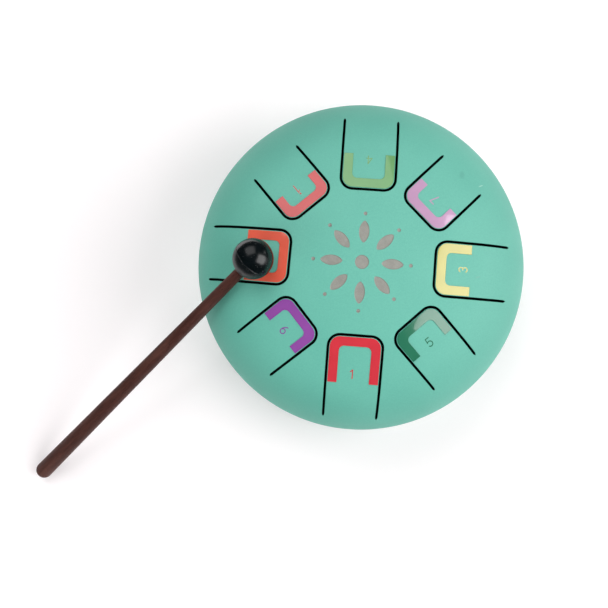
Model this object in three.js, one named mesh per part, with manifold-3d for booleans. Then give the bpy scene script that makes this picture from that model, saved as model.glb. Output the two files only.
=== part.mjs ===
// A small steel tongue drum with eight slotted tongues, and the mallet that leans on it.
// Millimetres and degrees. +Z is up and tongue 1 points towards -Y.
import * as THREE from 'three';
import { mergeVertices } from 'three/addons/utils/BufferGeometryUtils.js';
import Module from 'manifold-3d';

const wasm = await Module();
wasm.setup();

// Pressed steel shells
const DRUM_RADIUS = 77.5;
const DRUM_HEIGHT = 88;
const SHEET = 1.2;
const CROWN_RADIUS = 170;
const SHOULDER_RADIUS = 35;
const SKIRT_HEIGHT = 5;
const BASE_CORNER_RADIUS = 26;
const SOUND_HOLE_RADIUS = 19;

// Lap joint at the rim: the bottom shell's lip is stepped in to nest inside the top shell's skirt
const LIP_HEIGHT = 4;
const LIP_CLEARANCE = 0.2;
const JOGGLE_HEIGHT = 2.5;
const SEAM_CHAMFER = 0.4;

// Tongues: each is a U-shaped slot cut through the crown, and its width is between slot centres
const TONGUE_WIDTH = 24.4;
const TONGUE_CORNER = 5.3;
const SLOT_WIDTH = 1.15;
const SLOT_RUN_OUT = 1;
const RIM_BAND = 7;
const SEMITONES_PER_LENGTH_HALVING = 24;

// One entry per tongue. setBack moves the tip out from where neighbouring slots would meet, trim
// is the extra slot length filed in tuning, and decal is the length of the decal's two arms.
const TONGUES = [
  { note: 1, semitones: 0, azimuth: 270, skew: 0, setBack: 1.6, trim: 0, decal: 20.7, colour: 0xd93a49 },
  { note: 2, semitones: 2, azimuth: 180, skew: -1.2, setBack: 1.3, trim: 1.2, decal: 19, colour: 0xdb553e },
  { note: 3, semitones: 4, azimuth: 0, skew: 0.3, setBack: 1.5, trim: 0, decal: 15.4, colour: 0xf3e58f },
  { note: 4, semitones: 5, azimuth: 90, skew: 0.4, setBack: 1.7, trim: 0.8, decal: 15.5, colour: 0x7cb073 },
  { note: 5, semitones: 7, azimuth: 315, skew: 0.3, setBack: 2.8, trim: 0.3, decal: 14, colour: 0x2d7f5c },
  { note: 6, semitones: 9, azimuth: 225, skew: -3.3, setBack: 3.3, trim: 0.5, decal: 13.3, colour: 0x9246a5 },
  { note: 7, semitones: 11, azimuth: 45, skew: 2.9, setBack: 2.1, trim: 0.1, decal: 11.5, colour: 0xd6a3cb },
  { note: 8, semitones: 12, azimuth: 135, skew: -1.9, setBack: 2.4, trim: 0.4, decal: 11.5, colour: 0xe0666b },
];

// Printed vinyl decals, one inside the tip of each tongue
const DECAL_MARGIN = 0.28;
const DECAL_BAND = 4.1;
const DECAL_INNER_CORNER = 2.3;
const DECAL_THICKNESS = 0.2;
const DECAL_GLUE = 0.05;

// Rubber feet, each held by a screw with a washer below and a nut inside the drum
const FOOT_COUNT = 3;
const FOOT_CIRCLE = 42;
const FOOT_HEIGHT = 6;
const FOOT_TOP_RADIUS = 8;
const FOOT_BOTTOM_RADIUS = 7.2;
const FOOT_EDGE = 0.8;
const FOOT_RECESS_RADIUS = 4.3;
const FOOT_WEB = 2.4;
const WASHER_RADIUS = 4;
const WASHER_THICKNESS = 0.7;
const SCREW_RADIUS = 1.5;
const SCREW_LENGTH = 8;
const SCREW_HEAD_RADIUS = 2.8;
const SCREW_HEAD_HEIGHT = 2;
const NUT_FLATS = 5.5;
const NUT_HEIGHT = 2.4;
const HOLE_CLEARANCE = 0.15;

// Mallet: a tapered wooden stick with a rubber ball pushed on its thin end
const MALLET_LENGTH = 192;
const BALL_RADIUS = 9.2;
const STICK_BUTT_RADIUS = 4.2;
const STICK_NECK_RADIUS = 2.5;
const STICK_IN_BALL = 11;
const STICK_END_CHAMFER = 0.6;
const SOCKET_CLEARANCE = 0.1;

// Where the mallet lies: its ball on tongue 2, measured from that tongue's tip, its butt on the table
const MALLET_TONGUE = 2;
const BALL_FROM_TIP = 15.6;
const BALL_ASIDE = 2.3;
const BALL_REST_GAP = 0.2;
const LEAN_AZIMUTH = 226.3;

// Facets
const ROUND_STEPS = 64;
const SMALL_ROUND_STEPS = 20;
const CROWN_STEPS = 6;
const SHOULDER_STEPS = 7;
const BASE_CORNER_STEPS = 6;
const CORNER_SEGMENTS = 3;

const UP = new THREE.Vector3(0, 0, 1);
const degrees = THREE.MathUtils.degToRad;

// Heights and places that follow from the sizes above
const shoulderCentre = DRUM_RADIUS - SHOULDER_RADIUS;
const crownAngle = Math.asin(shoulderCentre / (CROWN_RADIUS - SHOULDER_RADIUS));
const crownCentreHeight = DRUM_HEIGHT - CROWN_RADIUS;
const shoulderHeight = crownCentreHeight + (CROWN_RADIUS - SHOULDER_RADIUS) * Math.cos(crownAngle);
const seamHeight = shoulderHeight - SKIRT_HEIGHT;
const tipCircle = (TONGUE_WIDTH + SLOT_WIDTH) / 2 / Math.tan(Math.PI / TONGUES.length);
const washerTop = FOOT_HEIGHT - FOOT_WEB;
const screwHeadTop = washerTop - WASHER_THICKNESS;

// Profiles are lists of points (distance from the axis, height)
function point(radius, height) {
  return new THREE.Vector2(radius, height);
}

// Points along an arc, angles in radians counted from the outward direction towards up
function arc(centreRadius, centreHeight, radius, from, to, steps) {
  const points = [];
  for (let i = 0; i <= steps; i += 1) {
    const angle = from + (to - from) * i / steps;
    points.push(point(centreRadius + radius * Math.cos(angle), centreHeight + radius * Math.sin(angle)));
  }
  return points;
}

// Turns a profile about the vertical axis. It starts and ends on the axis or returns to its start,
// with the material on its left-hand side.
function revolve(profile, steps) {
  return new THREE.LatheGeometry(profile, steps).rotateX(Math.PI / 2);
}

function closedProfile(points) {
  return [...points, points[0].clone()];
}

// Boolean work: a geometry becomes a solid once its seams are merged and its sliver faces dropped
function solidOf(geometry) {
  const bare = geometry.clone();
  bare.deleteAttribute('normal');
  bare.deleteAttribute('uv');
  const merged = mergeVertices(bare, 1e-4);
  const corners = merged.index.array;
  const kept = [];
  for (let i = 0; i < corners.length; i += 3) {
    const [a, b, c] = [corners[i], corners[i + 1], corners[i + 2]];
    if (a !== b && b !== c && c !== a) {
      kept.push(a, b, c);
    }
  }
  const vertProperties = new Float32Array(merged.attributes.position.array);
  return new wasm.Manifold(new wasm.Mesh({ numProp: 3, vertProperties, triVerts: new Uint32Array(kept) }));
}

function geometryOf(solid) {
  const mesh = solid.getMesh();
  const geometry = new THREE.BufferGeometry();
  geometry.setAttribute('position', new THREE.BufferAttribute(mesh.vertProperties, 3));
  geometry.setIndex(new THREE.BufferAttribute(mesh.triVerts, 1));
  geometry.computeVertexNormals();
  return geometry;
}

// Outside of the top shell from the crown's centre down to the rim, moved inwards by an offset
function domeCurve(offset) {
  const crownEnd = Math.PI / 2 - crownAngle;
  const crown = arc(0, crownCentreHeight, CROWN_RADIUS - offset, Math.PI / 2, crownEnd, CROWN_STEPS);
  const shoulder = arc(shoulderCentre, shoulderHeight, SHOULDER_RADIUS - offset, crownEnd, 0, SHOULDER_STEPS);
  crown[0].x = 0;
  return [...crown, ...shoulder.slice(1)];
}

// A ball of the given radius rolling over the dome has its centre at this height
function heightOverDome(distance, ballRadius) {
  const crownReach = (CROWN_RADIUS + ballRadius) * Math.sin(crownAngle);
  if (distance < crownReach) {
    return crownCentreHeight + Math.sqrt((CROWN_RADIUS + ballRadius) ** 2 - distance ** 2);
  }
  return shoulderHeight + Math.sqrt((SHOULDER_RADIUS + ballRadius) ** 2 - (distance - shoulderCentre) ** 2);
}

// Lengths: the lowest tongue fills the space up to the rim band, and a plain bar's pitch rises as
// the inverse square of its length, so an octave up is shorter by the square root of two
function tongueTip(tongue) {
  return tipCircle + tongue.setBack;
}

function tongueRoot(tongue) {
  const longest = DRUM_RADIUS - RIM_BAND - tongueTip(TONGUES[0]);
  const inTune = longest * 2 ** (-tongue.semitones / SEMITONES_PER_LENGTH_HALVING);
  return tongueTip(tongue) + inTune + tongue.trim;
}

// Turns a shape drawn along +X, with its tip nearest the axis, to its tongue's place on the crown
function tonguePlacement(tongue) {
  const middle = (tongueTip(tongue) + tongueRoot(tongue)) / 2;
  return new THREE.Matrix4()
    .makeRotationZ(degrees(tongue.azimuth))
    .multiply(new THREE.Matrix4().makeTranslation(middle, 0, 0))
    .multiply(new THREE.Matrix4().makeRotationZ(degrees(tongue.skew)))
    .multiply(new THREE.Matrix4().makeTranslation(-middle, 0, 0));
}

// Follows the rounded tip of a tongue from one side (-1 or 1) across to the other
function followTip(shape, side, halfWidth, tip, corner) {
  const x = tip + corner;
  const y = side * (halfWidth - corner);
  const turn = side * Math.PI;
  shape.absarc(x, y, corner, turn / 2, turn, side < 0);
  shape.absarc(x, -y, corner, -turn, -turn / 2, side < 0);
}

// A vertical prism of a shape, tall enough to pass through the whole crown
function prism(shape, placement) {
  const geometry = new THREE.ExtrudeGeometry(shape, {
    depth: DRUM_HEIGHT,
    bevelEnabled: false,
    curveSegments: CORNER_SEGMENTS,
  });
  return solidOf(geometry.translate(0, 0, SHEET).applyMatrix4(placement));
}

// The U of one slot, narrowing to a point at each end where the cutting beam runs out
function slotCutter(tongue) {
  const tip = tongueTip(tongue);
  const root = tongueRoot(tongue);
  const half = TONGUE_WIDTH / 2;
  const wide = half + SLOT_WIDTH / 2;
  const narrow = half - SLOT_WIDTH / 2;
  const shape = new THREE.Shape();
  shape.moveTo(root, -half);
  shape.lineTo(root - SLOT_RUN_OUT, -wide);
  followTip(shape, -1, wide, tip - SLOT_WIDTH / 2, TONGUE_CORNER + SLOT_WIDTH / 2);
  shape.lineTo(root - SLOT_RUN_OUT, wide);
  shape.lineTo(root, half);
  shape.lineTo(root - SLOT_RUN_OUT, narrow);
  followTip(shape, 1, narrow, tip + SLOT_WIDTH / 2, TONGUE_CORNER - SLOT_WIDTH / 2);
  shape.lineTo(root - SLOT_RUN_OUT, -narrow);
  shape.closePath();
  return prism(shape, tonguePlacement(tongue));
}

// Top shell: one pressed dome of sheet steel with its skirt, slotted into eight tongues
function topShell() {
  const rim = DRUM_RADIUS;
  const profile = [
    ...domeCurve(SHEET),
    point(rim - SHEET, seamHeight),
    point(rim - SEAM_CHAMFER, seamHeight),
    point(rim, seamHeight + SEAM_CHAMFER),
    ...domeCurve(0).reverse(),
  ];
  let shell = solidOf(revolve(profile, ROUND_STEPS));
  for (const tongue of TONGUES) {
    shell = shell.subtract(slotCutter(tongue));
  }
  return geometryOf(shell);
}

function footPlaces() {
  const places = [];
  for (let i = 0; i < FOOT_COUNT; i += 1) {
    const angle = Math.PI / 2 + 2 * Math.PI * i / FOOT_COUNT;
    places.push(new THREE.Vector2(FOOT_CIRCLE * Math.cos(angle), FOOT_CIRCLE * Math.sin(angle)));
  }
  return places;
}

// Bottom shell: a pressed bowl with a flat base, a round sound hole and a stepped lip
function bottomShell() {
  const rim = DRUM_RADIUS;
  const lip = rim - SHEET - LIP_CLEARANCE;
  const corner = rim - BASE_CORNER_RADIUS;
  const cornerHeight = FOOT_HEIGHT + BASE_CORNER_RADIUS;
  const quarter = Math.PI / 2;
  const outside = arc(corner, cornerHeight, BASE_CORNER_RADIUS, -quarter, 0, BASE_CORNER_STEPS);
  const inside = arc(corner, cornerHeight, BASE_CORNER_RADIUS - SHEET, 0, -quarter, BASE_CORNER_STEPS);
  const profile = closedProfile([
    point(SOUND_HOLE_RADIUS, FOOT_HEIGHT),
    ...outside,
    point(rim, seamHeight - SEAM_CHAMFER),
    point(rim - SEAM_CHAMFER, seamHeight),
    point(lip, seamHeight),
    point(lip, seamHeight + LIP_HEIGHT),
    point(lip - SHEET, seamHeight + LIP_HEIGHT),
    point(lip - SHEET, seamHeight),
    point(rim - SHEET, seamHeight - JOGGLE_HEIGHT),
    ...inside,
    point(SOUND_HOLE_RADIUS, FOOT_HEIGHT + SHEET),
  ]);
  let shell = solidOf(revolve(profile, ROUND_STEPS));
  const drill = new THREE.CylinderGeometry(
    SCREW_RADIUS + HOLE_CLEARANCE,
    SCREW_RADIUS + HOLE_CLEARANCE,
    FOOT_HEIGHT,
    SMALL_ROUND_STEPS,
  ).rotateX(Math.PI / 2);
  for (const place of footPlaces()) {
    shell = shell.subtract(solidOf(drill.clone().translate(place.x, place.y, FOOT_HEIGHT)));
  }
  return geometryOf(shell);
}

// Decal: a thin U that follows the crown just inside its tongue's slot
function decal(tongue) {
  const outerHalf = (TONGUE_WIDTH - SLOT_WIDTH) / 2 - DECAL_MARGIN;
  const innerHalf = outerHalf - DECAL_BAND;
  const outerTip = tongueTip(tongue) + SLOT_WIDTH / 2 + DECAL_MARGIN;
  const innerTip = outerTip + DECAL_BAND;
  const end = outerTip + tongue.decal;
  const shape = new THREE.Shape();
  shape.moveTo(end, -outerHalf);
  followTip(shape, -1, outerHalf, outerTip, TONGUE_CORNER - SLOT_WIDTH / 2 - DECAL_MARGIN);
  shape.lineTo(end, outerHalf);
  shape.lineTo(end, innerHalf);
  followTip(shape, 1, innerHalf, innerTip, DECAL_INNER_CORNER);
  shape.lineTo(end, -innerHalf);
  shape.closePath();
  const filledDome = [point(0, seamHeight), point(DRUM_RADIUS, seamHeight), ...domeCurve(0).reverse()];
  const crown = solidOf(revolve(filledDome, ROUND_STEPS));
  const top = crown.translate([0, 0, DECAL_GLUE + DECAL_THICKNESS]);
  const underside = crown.translate([0, 0, DECAL_GLUE]);
  return geometryOf(prism(shape, tonguePlacement(tongue)).intersect(top).subtract(underside));
}

// Foot: a tapered rubber button with a recess that hides the screw head
function foot() {
  return revolve(closedProfile([
    point(FOOT_RECESS_RADIUS, 0),
    point(FOOT_BOTTOM_RADIUS - FOOT_EDGE, 0),
    point(FOOT_BOTTOM_RADIUS, FOOT_EDGE),
    point(FOOT_TOP_RADIUS, FOOT_HEIGHT),
    point(SCREW_RADIUS + HOLE_CLEARANCE, FOOT_HEIGHT),
    point(SCREW_RADIUS + HOLE_CLEARANCE, washerTop),
    point(FOOT_RECESS_RADIUS, washerTop),
  ]), SMALL_ROUND_STEPS);
}

function washer() {
  return revolve(closedProfile([
    point(SCREW_RADIUS + HOLE_CLEARANCE, screwHeadTop),
    point(WASHER_RADIUS, screwHeadTop),
    point(WASHER_RADIUS, washerTop),
    point(SCREW_RADIUS + HOLE_CLEARANCE, washerTop),
  ]), SMALL_ROUND_STEPS);
}

// Screw: a pan head below, its shank up through the washer, the foot, the base and the nut
function screw() {
  const headBottom = screwHeadTop - SCREW_HEAD_HEIGHT;
  const bulge = SCREW_HEAD_HEIGHT / 2;
  return revolve([
    point(0, headBottom),
    point(SCREW_HEAD_RADIUS - bulge, headBottom),
    ...arc(SCREW_HEAD_RADIUS - bulge, headBottom + bulge, bulge, -Math.PI / 2, 0, CORNER_SEGMENTS).slice(1),
    point(SCREW_HEAD_RADIUS, screwHeadTop),
    point(SCREW_RADIUS, screwHeadTop),
    point(SCREW_RADIUS, screwHeadTop + SCREW_LENGTH),
    point(0, screwHeadTop + SCREW_LENGTH),
  ], SMALL_ROUND_STEPS);
}

// Nut: a hexagon on the inside of the base
function nut() {
  const across = NUT_FLATS / Math.sqrt(3);
  const corners = [];
  for (let i = 0; i < 6; i += 1) {
    const angle = Math.PI * i / 3;
    corners.push(new THREE.Vector2(across * Math.cos(angle), across * Math.sin(angle)));
  }
  const shape = new THREE.Shape(corners);
  const bore = new THREE.Path();
  bore.absarc(0, 0, SCREW_RADIUS + HOLE_CLEARANCE, 0, 2 * Math.PI, true);
  shape.holes.push(bore);
  const geometry = new THREE.ExtrudeGeometry(shape, {
    depth: NUT_HEIGHT,
    bevelEnabled: false,
    curveSegments: SMALL_ROUND_STEPS / 2,
  });
  return geometry.translate(0, 0, FOOT_HEIGHT + SHEET);
}

// The mallet is drawn with the ball's centre at the origin and the stick hanging down -Z
const buttBelowBall = MALLET_LENGTH - BALL_RADIUS - STICK_BUTT_RADIUS;
const socketFloor = STICK_IN_BALL - BALL_RADIUS;

function malletStick() {
  const end = socketFloor - SOCKET_CLEARANCE;
  return revolve([
    ...arc(0, -buttBelowBall, STICK_BUTT_RADIUS, -Math.PI / 2, 0, CROWN_STEPS),
    point(STICK_NECK_RADIUS, -BALL_RADIUS),
    point(STICK_NECK_RADIUS, end - STICK_END_CHAMFER),
    point(STICK_NECK_RADIUS - STICK_END_CHAMFER, end),
    point(0, end),
  ], SMALL_ROUND_STEPS);
}

function malletBall() {
  const socket = STICK_NECK_RADIUS + SOCKET_CLEARANCE;
  const mouth = -Math.acos(socket / BALL_RADIUS);
  return revolve([
    point(0, socketFloor),
    point(socket, socketFloor),
    ...arc(0, 0, BALL_RADIUS, mouth, Math.PI / 2, SMALL_ROUND_STEPS / 2),
  ], SMALL_ROUND_STEPS);
}

// Lays the mallet down: the ball over its tongue, the round butt on the table
function layMallet(mallet) {
  const tongue = TONGUES.find((entry) => entry.note === MALLET_TONGUE);
  const ball = new THREE.Vector3(tongueTip(tongue) + BALL_FROM_TIP, BALL_ASIDE, 0);
  ball.applyAxisAngle(UP, degrees(tongue.azimuth));
  ball.z = heightOverDome(Math.hypot(ball.x, ball.y), BALL_RADIUS + BALL_REST_GAP);
  const rise = (ball.z - STICK_BUTT_RADIUS) / buttBelowBall;
  const level = Math.sqrt(1 - rise ** 2);
  const lean = degrees(LEAN_AZIMUTH);
  const towardsBall = new THREE.Vector3(-level * Math.cos(lean), -level * Math.sin(lean), rise);
  mallet.position.copy(ball);
  mallet.quaternion.setFromUnitVectors(UP, towardsBall);
}

// Materials
function material(color, roughness, metalness) {
  return new THREE.MeshStandardMaterial({ color, roughness, metalness });
}
const mintCoat = material(0x67bfae, 0.5, 0);
const blackRubber = material(0x1a1c1d, 0.6, 0);
const glossyRubber = material(0x0c0e10, 0.2, 0);
const stainedWood = material(0x4a2c28, 0.45, 0);
const zincSteel = material(0xb9bcc0, 0.35, 1);

function piece(name, geometry, finish) {
  const mesh = new THREE.Mesh(geometry, finish);
  mesh.name = name;
  return mesh;
}

function drum() {
  const group = new THREE.Group();
  group.add(piece('top_shell', topShell(), mintCoat));
  group.add(piece('bottom_shell', bottomShell(), mintCoat));
  for (const tongue of TONGUES) {
    group.add(piece(`decal_${tongue.note}`, decal(tongue), material(tongue.colour, 0.15, 0)));
  }
  footPlaces().forEach((place, i) => {
    const stand = new THREE.Group();
    stand.position.set(place.x, place.y, 0);
    stand.add(piece(`foot_${i + 1}`, foot(), blackRubber));
    stand.add(piece(`foot_washer_${i + 1}`, washer(), zincSteel));
    stand.add(piece(`foot_screw_${i + 1}`, screw(), zincSteel));
    stand.add(piece(`foot_nut_${i + 1}`, nut(), zincSteel));
    group.add(stand);
  });
  return group;
}

function mallet() {
  const group = new THREE.Group();
  group.add(piece('mallet_stick', malletStick(), stainedWood));
  group.add(piece('mallet_ball', malletBall(), glossyRubber));
  layMallet(group);
  return group;
}

// Puts the origin at the middle of the whole set, on the table
function centreOnTable(group) {
  const box = new THREE.Box3().setFromObject(group, true);
  group.position.set(-(box.min.x + box.max.x) / 2, -(box.min.y + box.max.y) / 2, -box.min.z);
}

const tongueDrum = new THREE.Group();
tongueDrum.add(drum(), mallet());
centreOnTable(tongueDrum);

export default tongueDrum;
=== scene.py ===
"""A small steel tongue drum in mint powder coat, with the mallet that leans on it.

Lengths are written in millimetres and turned into metres as each mesh is made, and the studio's
are in metres. Heights count from the table, and plan positions from the drum's upright axis.
"""
import math

import bmesh
import bpy
from mathutils import Matrix, Vector
from mathutils.geometry import delaunay_2d_cdt
from mathutils.kdtree import KDTree


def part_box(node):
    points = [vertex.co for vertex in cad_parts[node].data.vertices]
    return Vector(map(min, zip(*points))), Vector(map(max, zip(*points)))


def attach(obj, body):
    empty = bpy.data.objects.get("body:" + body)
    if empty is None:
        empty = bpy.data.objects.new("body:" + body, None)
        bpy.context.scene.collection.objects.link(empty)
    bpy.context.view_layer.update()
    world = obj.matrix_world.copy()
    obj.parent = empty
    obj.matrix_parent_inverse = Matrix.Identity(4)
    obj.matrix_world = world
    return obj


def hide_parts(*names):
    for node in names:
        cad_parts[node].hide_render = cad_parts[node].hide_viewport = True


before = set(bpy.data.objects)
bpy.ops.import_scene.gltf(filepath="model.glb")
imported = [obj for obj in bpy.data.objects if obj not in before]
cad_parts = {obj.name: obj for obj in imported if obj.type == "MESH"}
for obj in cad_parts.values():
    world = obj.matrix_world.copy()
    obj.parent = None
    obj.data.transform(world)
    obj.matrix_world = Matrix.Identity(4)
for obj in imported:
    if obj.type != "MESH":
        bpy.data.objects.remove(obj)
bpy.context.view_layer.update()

# Camera. It hangs 550 mm above the table, almost straight over the drum, a little to its left and
# towards the low note, and leans back by under two degrees each way. The drum stands turned by a
# few degrees in the picture, so the camera is turned against it by the same angle.
MM = 0.001
CAMERA_ASIDE = (-10.48, -29.29)
CAMERA_HEIGHT = 550.0
CAMERA_TILT = (1.337, 1.864)
PICTURE_TURN = 4.356
LENS = 62.157
SENSOR = 36.0

shell_low, shell_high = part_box("top_shell")
drum_axis = Vector(((shell_low.x + shell_high.x) / 2, (shell_low.y + shell_high.y) / 2, 0))
picture_turn = Matrix.Rotation(math.radians(PICTURE_TURN), 4, "Z")

camera_data = bpy.data.cameras.new("camera")
camera_data.sensor_width = SENSOR
camera_data.lens = LENS
camera = bpy.data.objects.new("camera", camera_data)
bpy.context.scene.collection.objects.link(camera)
camera.matrix_world = (
    Matrix.Translation(drum_axis)
    @ picture_turn
    @ Matrix.Translation(Vector((*CAMERA_ASIDE, CAMERA_HEIGHT)) * MM)
    @ Matrix.Rotation(math.radians(CAMERA_TILT[1]), 4, "Y")
    @ Matrix.Rotation(math.radians(CAMERA_TILT[0]), 4, "X")
)
bpy.context.scene.camera = camera
bpy.context.scene.view_settings.view_transform = "Standard"

# Top shell. A disc of steel sheet pressed into a dome with a short upright skirt, laser cut with
# eight U-shaped slots that leave the tongues, and powder coated in mint. The coat rounds every cut
# edge, and the rounding carries a painted highlight. A ring of petals in the middle is etched
# through the coat to the bare steel.
DRUM_RADIUS = 77.5
DRUM_HEIGHT = 88.0
SHEET = 1.2
CROWN_RADIUS = 170.0
SHOULDER_RADIUS = 35.0
SKIRT_HEIGHT = 5.0
SEAM_ROUND = 0.4
TONGUE_WIDTH = 24.4
TONGUE_CORNER = 5.3
SLOT_WIDTH = 1.15
SLOT_RUN_OUT = 1.0
RUN_OUT_CURVE = 0.55
SLOT_POINT = 0.05
RIM_BAND = 7.0
EDGE_ROUND = 0.14
EDGE_GUARD = 0.25
PATTERN_RADIUS = 73.0
PATTERN_STEP = 2.0
ROUND_STEPS = 256
# semitones above the lowest note, azimuth and skew in degrees, set-back and trim in millimetres
TONGUES = {
    "1": (0, 270, 0, 1.6, 0),
    "2": (2, 180, -1.2, 1.3, 1.2),
    "3": (4, 0, 0.3, 1.5, 0),
    "4": (5, 90, 0.4, 1.7, 0.8),
    "5": (7, 315, 0.3, 2.8, 0.3),
    "6": (9, 225, -3.3, 3.3, 0.5),
    "7": (11, 45, 2.9, 2.1, 0.1),
    "8": (12, 135, -1.9, 2.4, 0.4),
}
SEMITONES_PER_LENGTH_HALVING = 24
PETALS = 8
PETAL_REACH = (8.6, 18.4)
PETAL_WIDTH = 4.6
PETAL_DOT = (21.6, 0.85)
PETAL_HEART = 3.1
PETAL_BLUNTNESS = 0.35
PETAL_STEPS = 22
DOT_STEPS = 16
HEART_STEPS = 40
ETCH_DEPTH = 0.26
ETCH_TIP_SLOPE = 1.6
MINT = "67b9a6"
MINT_DEEP = "5db09e"
# paler mint of the painted highlight on the rounded cut edges
MINT_EDGE_HIGHLIGHT = "6cb6a6"
STEEL_ETCHED = "a3a29b"
STEEL_INSIDE = "2b2c2c"
# handling marks on the coat: place, half length and half width, turn in degrees, colour, strength
MARKS = {
    "smudge": ((42.2, 43.2), (2.7, 1.7), 80, "4c9384", 0.36),
    "bright scratch": ((51.4, 39.3), (2.0, 0.3), 24, "dcefe8", 0.45),
    "dull scratch": ((52.2, -2.4), (1.7, 0.3), 24, "8c9f99", 0.4),
}

shoulder_centre = DRUM_RADIUS - SHOULDER_RADIUS
crown_angle = math.asin(shoulder_centre / (CROWN_RADIUS - SHOULDER_RADIUS))
crown_centre = DRUM_HEIGHT - CROWN_RADIUS
shoulder_height = crown_centre + (CROWN_RADIUS - SHOULDER_RADIUS) * math.cos(crown_angle)
seam_height = shoulder_height - SKIRT_HEIGHT


def dome(radius, inwards=0.0):
    """Height of the dome at a distance from the axis, for the surface this far inside the outer one."""
    if radius < (CROWN_RADIUS - inwards) * math.sin(crown_angle):
        return crown_centre + math.sqrt((CROWN_RADIUS - inwards) ** 2 - radius**2)
    across = min(radius - shoulder_centre, SHOULDER_RADIUS - inwards)
    return shoulder_height + math.sqrt((SHOULDER_RADIUS - inwards) ** 2 - across**2)


def arc(centre, radius, start, end, steps):
    """Points along an arc, angles in degrees from the outward direction towards up."""
    angles = [math.radians(start + (end - start) * i / steps) for i in range(steps + 1)]
    return [(centre[0] + radius * math.cos(a), centre[1] + radius * math.sin(a)) for a in angles]


def circle(radius, steps, centre=(0, 0)):
    return arc(centre, radius, 0, 360, steps)[:-1]


class Surface:
    """Points and faces of one piece while it is made."""

    def __init__(self):
        self.points = []
        self.faces = []
        self.finishes = []

    def loop(self, points):
        start = len(self.points)
        self.points += [Vector(p) for p in points]
        return list(range(start, len(self.points)))

    def face(self, corners, finish=0):
        self.faces.append(corners)
        self.finishes.append(finish)

    def band(self, one, two, finish=0, closed=True):
        """Faces between two loops of the same length, or between a loop and a single point."""
        count = max(len(one), len(two))
        for i in range(count if closed else count - 1):
            j = (i + 1) % count
            corners = [one[i % len(one)], one[j % len(one)], two[j % len(two)], two[i % len(two)]]
            self.face(list(dict.fromkeys(corners)), finish)

    def bands(self, loops, finish=0, closed=True):
        for one, two in zip(loops, loops[1:]):
            self.band(one, two, finish, closed)

    def rings(self, profile, steps=ROUND_STEPS):
        """One ring of points about the axis for each (radius, height) of a profile."""
        return [
            self.loop([(x, y, z) for x, y in circle(r, steps)] if r > 0 else [(0, 0, z)])
            for r, z in profile
        ]

    def piece(self, name, finishes, sharp=35.0, place=None):
        """Makes the Blender object: closed, faces outward, smooth but for edges over an angle."""
        data = bpy.data.meshes.new(name)
        data.from_pydata([p * MM for p in self.points], [], self.faces)
        for finish in finishes:
            data.materials.append(finish.material)
        for polygon, finish in zip(data.polygons, self.finishes):
            polygon.material_index = finish
        mesh = bmesh.new()
        mesh.from_mesh(data)
        bmesh.ops.delete(mesh, geom=[v for v in mesh.verts if not v.link_faces], context="VERTS")
        bmesh.ops.recalc_face_normals(mesh, faces=mesh.faces)
        mesh.to_mesh(data)
        mesh.free()
        data.shade_smooth()
        data.set_sharp_from_angle(angle=math.radians(sharp))
        data.transform(place or Matrix.Translation(drum_axis))
        piece = bpy.data.objects.new(name, data)
        bpy.context.scene.collection.objects.link(piece)
        return piece


def flat_pattern(ring, cuts, marks, spacing):
    """Triangles in plan inside a ring, with cuts left open and marks (outer and inner loop) let in.

    Gives the points, the ring's and the cuts' point numbers, and triangles as (corners, in mark,
    on the mark's floor).
    """
    loops = [ring, *cuts, *[loop for mark in marks for loop in mark]]
    near = KDTree(sum(len(loop) for loop in loops))
    points = []
    numbers = []
    for loop in loops:
        numbers.append(list(range(len(points), len(points) + len(loop))))
        points += [Vector(p[:2]) for p in loop]
    for i, p in enumerate(points):
        near.insert(p.to_3d(), i)
    near.balance()
    reach = max(p.length for p in points)
    for step in range(int(reach / spacing)):
        radius = reach - (step + 1) * spacing
        count = max(1, round(2 * math.pi * radius / spacing))
        turn = (step % 2) * 180 / count
        for i in range(count):
            a = math.radians(turn + 360 * i / count)
            p = Vector((radius * math.cos(a), radius * math.sin(a)))
            if near.find(p.to_3d())[2] > spacing * 0.55:
                points.append(p)
    found = delaunay_2d_cdt(points, [], numbers[1:], 0, 1e-5)
    places, triangles, origins, owners = found[0], found[2], found[3], found[5]
    now = {old: new for new, olds in enumerate(origins) for old in olds}
    numbers = [[now[i] for i in loop] for loop in numbers]
    cut_count = len(cuts)
    kept = []
    for corners, owner in zip(triangles, owners):
        if any(o < cut_count for o in owner):
            continue
        inside = [o for o in owner if o >= cut_count]
        kept.append((list(corners), bool(inside), any((o - cut_count) % 2 for o in inside)))
    return places, numbers[0], numbers[1:1 + cut_count], kept


def u_path(tip, end, half, corner, step=1.0, turns=10):
    """Points (x, y, outward x, outward y) round a U with its closed end nearest the axis."""
    straight = max(2, round((end - tip - corner) / step))
    across = max(2, round(2 * (half - corner) / step))
    path = []
    for side in (-1, 1):
        leg = [(end + (tip + corner - end) * (i / straight) ** 1.5, side * half, 0, side)
               for i in range(straight)]
        bend = []
        for i in range(turns + 1):
            a = math.radians(90 + 90 * i / turns)
            out = (math.cos(a), side * math.sin(a))
            bend.append((tip + corner + corner * out[0], side * (half - corner) + corner * out[1], *out))
        leg += bend
        if side < 0:
            path += leg
            low = -(half - corner)
            path += [(tip, low - 2 * low * i / across, -1, 0) for i in range(1, across)]
        else:
            path += leg[::-1]
    return path


def tongue_span(name):
    """Distances of a tongue's tip and root from the axis, between slot centres."""
    semitones, _, _, set_back, trim = TONGUES[name]
    tip_circle = (TONGUE_WIDTH + SLOT_WIDTH) / 2 / math.tan(math.pi / len(TONGUES))
    longest = DRUM_RADIUS - RIM_BAND - tip_circle - TONGUES["1"][3]
    tip = tip_circle + set_back
    return tip, tip + longest * 2 ** (-semitones / SEMITONES_PER_LENGTH_HALVING) + trim


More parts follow.
